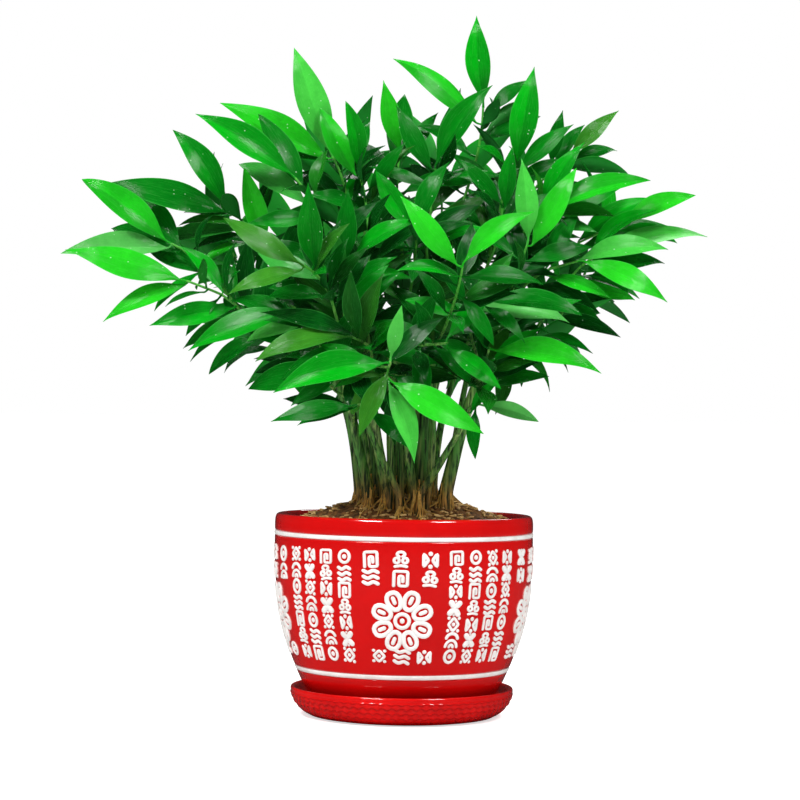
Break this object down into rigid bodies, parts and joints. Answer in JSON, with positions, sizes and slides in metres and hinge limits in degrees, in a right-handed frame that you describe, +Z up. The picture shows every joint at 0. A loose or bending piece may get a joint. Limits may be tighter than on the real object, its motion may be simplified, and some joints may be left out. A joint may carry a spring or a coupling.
{
  "type": "potted nagi tree",
  "caption": "Bushy clump of nagi seedlings with broad glossy pointed leaves in a round glazed ceramic pot with raised ornament, on a matching saucer.",
  "frame": {"origin": "centre of the saucer's flat underside, on the surface that the pot stands on", "axes": "+Z up along the pot's turning axis, -Y towards the front that the foliage and the main ornament face, +X to the viewer's right"},
  "size_m": [0.499, 0.353, 0.5457],
  "materials": {
    "pot_glaze": "high gloss red glaze",
    "saucer_glaze": "high gloss red glaze over braided relief",
    "white_slip": "satin white raised slip",
    "drain_mesh": "matte",
    "bark_mix": "rough damp bark and fibre",
    "stem_bark": "green young bark, brown at the foot",
    "leaf": "glossy living leaf with fine parallel veins"
  },
  "bodies": {
    "root": {"pot": "pot_glaze", "saucer": "saucer_glaze", "drain_cover": "drain_mesh", "soil": "bark_mix", "seedling_01": "leaf", "seedling_02": "leaf", "seedling_03": "leaf", "seedling_04": "leaf", "seedling_05": "leaf", "seedling_06": "leaf", "seedling_07": "leaf", "seedling_08": "leaf", "seedling_09": "leaf", "seedling_10": "leaf", "seedling_11": "leaf", "seedling_12": "leaf", "seedling_13": "leaf", "seedling_14": "leaf"}
  },
  "joints": []
}
